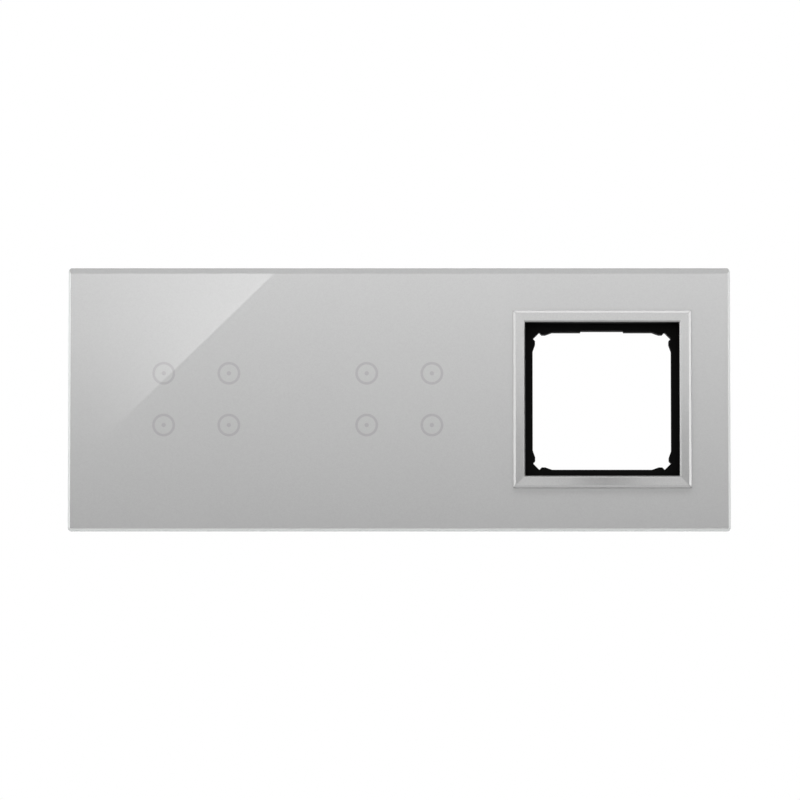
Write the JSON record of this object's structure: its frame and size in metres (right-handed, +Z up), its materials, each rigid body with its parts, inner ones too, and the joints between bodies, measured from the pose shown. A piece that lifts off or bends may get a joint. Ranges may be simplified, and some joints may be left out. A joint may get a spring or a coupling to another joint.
{
  "type": "touch switch panel",
  "caption": "Wide glass wall panel with touch-sensitive switch gangs marked by printed rings, and a framed square window for a wiring insert.",
  "frame": {"origin": "middle of the panel, on the wall plane that the support plates lie on", "axes": "+X along the panel to the right as seen from the room, +Y into the wall, +Z up"},
  "size_m": [0.2316, 0.0361, 0.0924],
  "materials": {
    "painted_glass": "clear float glass, silver-grey enamel on its back",
    "foam_tape": "matt acrylic foam tape",
    "black_moulding": "fine spark texture, black",
    "satin_silver": "satin silver metallised plastic",
    "holder_black": "matt black moulding",
    "zinc_screw": "zinc-plated steel",
    "zinc_plate": "zinc-plated sheet steel",
    "spring_steel": "tempered strip",
    "housing_grey": "dark grey moulding, spark texture",
    "tray_white": "white moulding",
    "board_green": "solder mask on glass-fibre board",
    "chip_black": "moulded package",
    "link_black": "header body",
    "relay_blue": "relay case",
    "transformer_dark": "ferrite core and wrapped winding",
    "capacitor_sleeve": "shrink sleeve on an aluminium can",
    "terminal_grey": "grey polyamide",
    "cage_brass": "plain brass",
    "conductive_foam": "conductive foam",
    "led_white": "clear lens on a white package"
  },
  "bodies": {
    "wall_side": {"left_board_link": "link_black", "left_indicator_led_1": "led_white", "left_indicator_led_2": "led_white", "left_indicator_led_3": "led_white", "left_indicator_led_4": "led_white", "left_panel_clips": "spring_steel", "left_rear_housing": "housing_grey", "left_relay_1": "relay_blue", "left_relay_2": "relay_blue", "left_relay_board": "board_green", "left_sensor_board": "board_green", "left_sensor_tray": "tray_white", "left_supply_capacitor": "capacitor_sleeve", "left_supply_transformer": "transformer_dark", "left_support_plate": "zinc_plate", "left_terminal_block": "terminal_grey", "left_terminal_cages": "cage_brass", "left_terminal_screws": "zinc_screw", "left_touch_controller": "chip_black", "left_touch_foam_1": "conductive_foam", "left_touch_foam_2": "conductive_foam", "left_touch_foam_3": "conductive_foam", "left_touch_foam_4": "conductive_foam", "left_tray_screws": "zinc_screw", "middle_board_link": "link_black", "middle_indicator_led_1": "led_white", "middle_indicator_led_2": "led_white", "middle_indicator_led_3": "led_white", "middle_indicator_led_4": "led_white", "middle_panel_clips": "spring_steel", "middle_rear_housing": "housing_grey", "middle_relay_1": "relay_blue", "middle_relay_2": "relay_blue", "middle_relay_board": "board_green", "middle_sensor_board": "board_green", "middle_sensor_tray": "tray_white", "middle_supply_capacitor": "capacitor_sleeve", "middle_supply_transformer": "transformer_dark", "middle_support_plate": "zinc_plate", "middle_terminal_block": "terminal_grey", "middle_terminal_cages": "cage_brass", "middle_terminal_screws": "zinc_screw", "middle_touch_controller": "chip_black", "middle_touch_foam_1": "conductive_foam", "middle_touch_foam_2": "conductive_foam", "middle_touch_foam_3": "conductive_foam", "middle_touch_foam_4": "conductive_foam", "middle_tray_screws": "zinc_screw"},
    "front_panel": {"glass_panel": "painted_glass", "bonding_tape": "foam_tape", "panel_carrier": "black_moulding", "window_trim": "satin_silver", "insert_holder": "holder_black", "holder_screws": "zinc_screw"}
  },
  "joints": [
    {"name": "panel_pull_off", "type": "slide", "parent": "wall_side", "child": "front_panel", "axis": [0, -1, 0], "range_m": [0, 0.03]}
  ]
}
